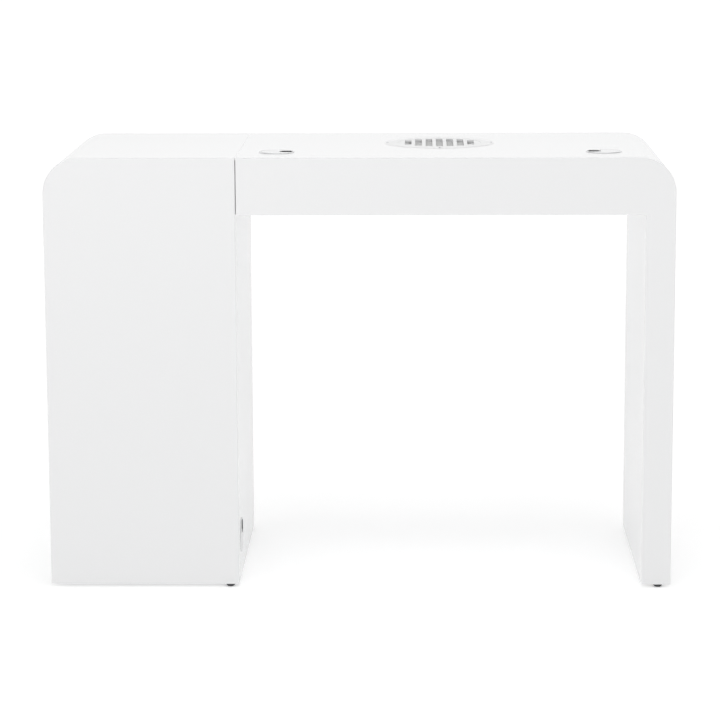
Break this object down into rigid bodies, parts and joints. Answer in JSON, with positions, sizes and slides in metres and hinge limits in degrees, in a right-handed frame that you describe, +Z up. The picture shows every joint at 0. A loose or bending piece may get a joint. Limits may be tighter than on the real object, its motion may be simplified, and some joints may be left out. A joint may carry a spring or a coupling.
{
  "type": "manicure table",
  "caption": "White gloss manicure table: a drawer and door cabinet under one rounded corner, a waterfall desk with a built-in dust extractor, cable grommets and glides.",
  "frame": {"origin": "on the floor under the middle of the table, handles included", "axes": "+X from the cabinet to the leg, +Y from the customer's side to the technician's side, +Z up"},
  "size_m": [1.1, 0.478, 0.7666],
  "materials": {
    "white_lacquer": "white gloss lacquer on MDF",
    "raw_board": "raw MDF and batten wood",
    "drawer_board": "white melamine-faced board",
    "chrome": "polished chrome",
    "zinc_steel": "zinc-plated steel",
    "runner_steel": "bright zinc-plated sheet steel",
    "vent_plastic": "satin white moulded plastic",
    "housing_plastic": "light grey moulded plastic",
    "grommet_plastic": "light silver-grey moulded plastic",
    "filter_media": "non-woven light grey filter fleece",
    "black_plastic": "black moulded plastic",
    "copper_windings": "enamelled copper wire",
    "glide_plastic": "dark grey nylon"
  },
  "bodies": {
    "table": {"cabinet_waterfall_panel": "white_lacquer", "cabinet_front_panel": "white_lacquer", "cabinet_inner_side": "white_lacquer", "cabinet_bottom_panel": "white_lacquer", "cabinet_divider": "white_lacquer", "cabinet_rear_fascia": "white_lacquer", "desk_waterfall_panel": "white_lacquer", "desk_front_panel": "white_lacquer", "desk_rear_panel": "white_lacquer", "beam_bottom_panel": "white_lacquer", "leg_inner_panel": "white_lacquer", "cabinet_shelf": "drawer_board", "beam_end_panel": "raw_board", "beam_cross_rails": "raw_board", "leg_core_blocks": "raw_board", "shelf_pins": "zinc_steel", "joining_bolts": "zinc_steel", "joining_washers": "zinc_steel", "joining_nuts": "zinc_steel", "ring_screws": "zinc_steel", "fan_guard": "zinc_steel", "fan_screws": "zinc_steel", "wood_screws": "zinc_steel", "cabinet_hinge_leaves": "zinc_steel", "hinge_pins": "zinc_steel", "runner_cabinet_members": "runner_steel", "extractor_ring": "vent_plastic", "exhaust_louvre": "vent_plastic", "extractor_housing": "housing_plastic", "magnetic_catch": "housing_plastic", "left_grommet_sleeve": "grommet_plastic", "right_grommet_sleeve": "grommet_plastic", "side_grommet_sleeve": "grommet_plastic", "fan_frame": "black_plastic", "switch_housing": "black_plastic", "fan_stator": "copper_windings", "cabinet_glides": "glide_plastic", "leg_glides": "glide_plastic"},
    "upper_drawer": {"upper_drawer_front": "white_lacquer", "upper_drawer_boards": "drawer_board", "upper_drawer_bottom": "drawer_board", "upper_drawer_handle": "chrome", "upper_runner_inner": "runner_steel"},
    "upper_runner": {"upper_runner_middle": "runner_steel"},
    "lower_drawer": {"lower_drawer_front": "white_lacquer", "lower_drawer_boards": "drawer_board", "lower_drawer_bottom": "drawer_board", "lower_drawer_handle": "chrome", "lower_runner_inner": "runner_steel"},
    "lower_runner": {"lower_runner_middle": "runner_steel"},
    "door": {"door_panel": "white_lacquer", "door_handle": "chrome", "door_hinge_leaves": "zinc_steel"},
    "fan": {"fan_impeller": "black_plastic"},
    "grille": {"extractor_grille": "vent_plastic", "extractor_filter": "filter_media"},
    "left_cap": {"left_grommet_cap": "grommet_plastic"},
    "right_cap": {"right_grommet_cap": "grommet_plastic"},
    "side_cap": {"side_grommet_cap": "grommet_plastic"},
    "rocker": {"switch_rocker": "black_plastic"}
  },
  "joints": [
    {"name": "upper_drawer_slide", "type": "slide", "parent": "table", "child": "upper_drawer", "axis": [0, 1, 0], "range_m": [0, 0.33]},
    {"name": "upper_runner_slide", "type": "slide", "parent": "table", "child": "upper_runner", "axis": [0, 1, 0], "range_m": [0, 0.165]},
    {"name": "lower_drawer_slide", "type": "slide", "parent": "table", "child": "lower_drawer", "axis": [0, 1, 0], "range_m": [0, 0.33]},
    {"name": "lower_runner_slide", "type": "slide", "parent": "table", "child": "lower_runner", "axis": [0, 1, 0], "range_m": [0, 0.165]},
    {"name": "door_hinge", "type": "hinge", "parent": "table", "child": "door", "pos_m": [-0.5305, 0.2146, 0.2005], "axis": [0, 0, 1], "range_deg": [0, 170]},
    {"name": "fan_spin", "type": "hinge", "parent": "table", "child": "fan", "pos_m": [0.1415, 0.018, 0.707], "axis": [0, 0, 1], "continuous": true},
    {"name": "grille_lift", "type": "slide", "parent": "table", "child": "grille", "axis": [0, 0, 1], "range_m": [0, 0.12]},
    {"name": "left_cap_turn", "type": "hinge", "parent": "table", "child": "left_cap", "pos_m": [-0.1465, -0.141, 0.765], "axis": [0, 0, 1], "continuous": true},
    {"name": "right_cap_turn", "type": "hinge", "parent": "table", "child": "right_cap", "pos_m": [0.4295, -0.141, 0.765], "axis": [0, 0, 1], "continuous": true},
    {"name": "side_cap_turn", "type": "hinge", "parent": "table", "child": "side_cap", "pos_m": [-0.215, -0.169, 0.079], "axis": [1, 0, 0], "continuous": true},
    {"name": "switch_rock", "type": "hinge", "parent": "table", "child": "rocker", "pos_m": [0.3315, 0.207, 0.715], "axis": [1, 0, 0], "range_deg": [0, 16]}
  ],
  "couplings": [
    {"joint": "upper_runner_slide", "follows": "upper_drawer_slide", "ratio": 0.5},
    {"joint": "lower_runner_slide", "follows": "lower_drawer_slide", "ratio": 0.5}
  ]
}
